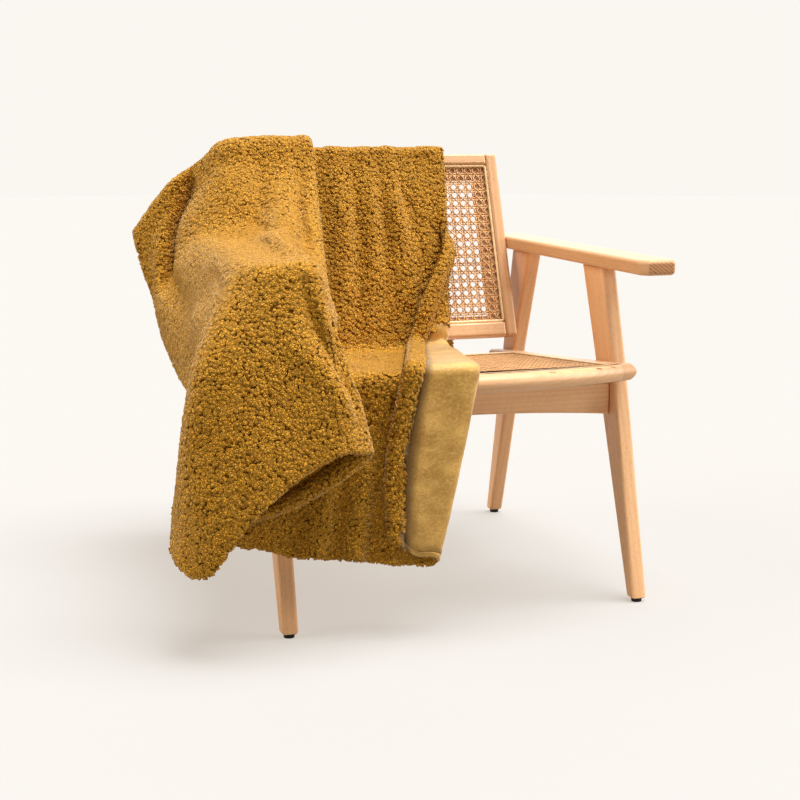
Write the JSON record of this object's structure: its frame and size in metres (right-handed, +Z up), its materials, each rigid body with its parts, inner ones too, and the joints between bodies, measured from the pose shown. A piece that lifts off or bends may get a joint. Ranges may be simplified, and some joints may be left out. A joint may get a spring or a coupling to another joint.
{
  "type": "sherpa fleece throw over a wooden cane chair",
  "caption": "Two-sided sherpa and plush throw draped over the back, seat and one arm of an open-frame wooden chair with cane seat and back.",
  "frame": {"origin": "middle of the footprint of the throw and chair together, on the floor", "axes": "+Z up, -Y towards the chair's front, where the throw's front end hangs, +X to the right of someone who looks at the chair's front"},
  "size_m": [0.7912, 0.795, 0.7367],
  "materials": {
    "sherpa": "mustard sherpa fleece, short curly pile",
    "plush": "golden olive plush, very short smooth pile with a sheen",
    "wood": "light oiled hardwood, satin",
    "cane": "natural six-way woven cane",
    "glide": "black rubber"
  },
  "bodies": {
    "root": {"throw_sherpa": "sherpa", "throw_plush": "plush", "leg_front_left": "wood", "leg_front_right": "wood", "leg_rear_left": "wood", "leg_rear_right": "wood", "arm_left": "wood", "arm_right": "wood", "seat_rail_front": "wood", "seat_rail_left": "wood", "seat_rail_right": "wood", "seat_rail_rear": "wood", "seat_apron": "wood", "back_stile_left": "wood", "back_stile_right": "wood", "back_rail_top": "wood", "back_rail_bottom": "wood", "seat_cane": "cane", "back_cane": "cane", "glide_front_left": "glide", "glide_front_right": "glide", "glide_rear_left": "glide", "glide_rear_right": "glide"}
  },
  "joints": []
}
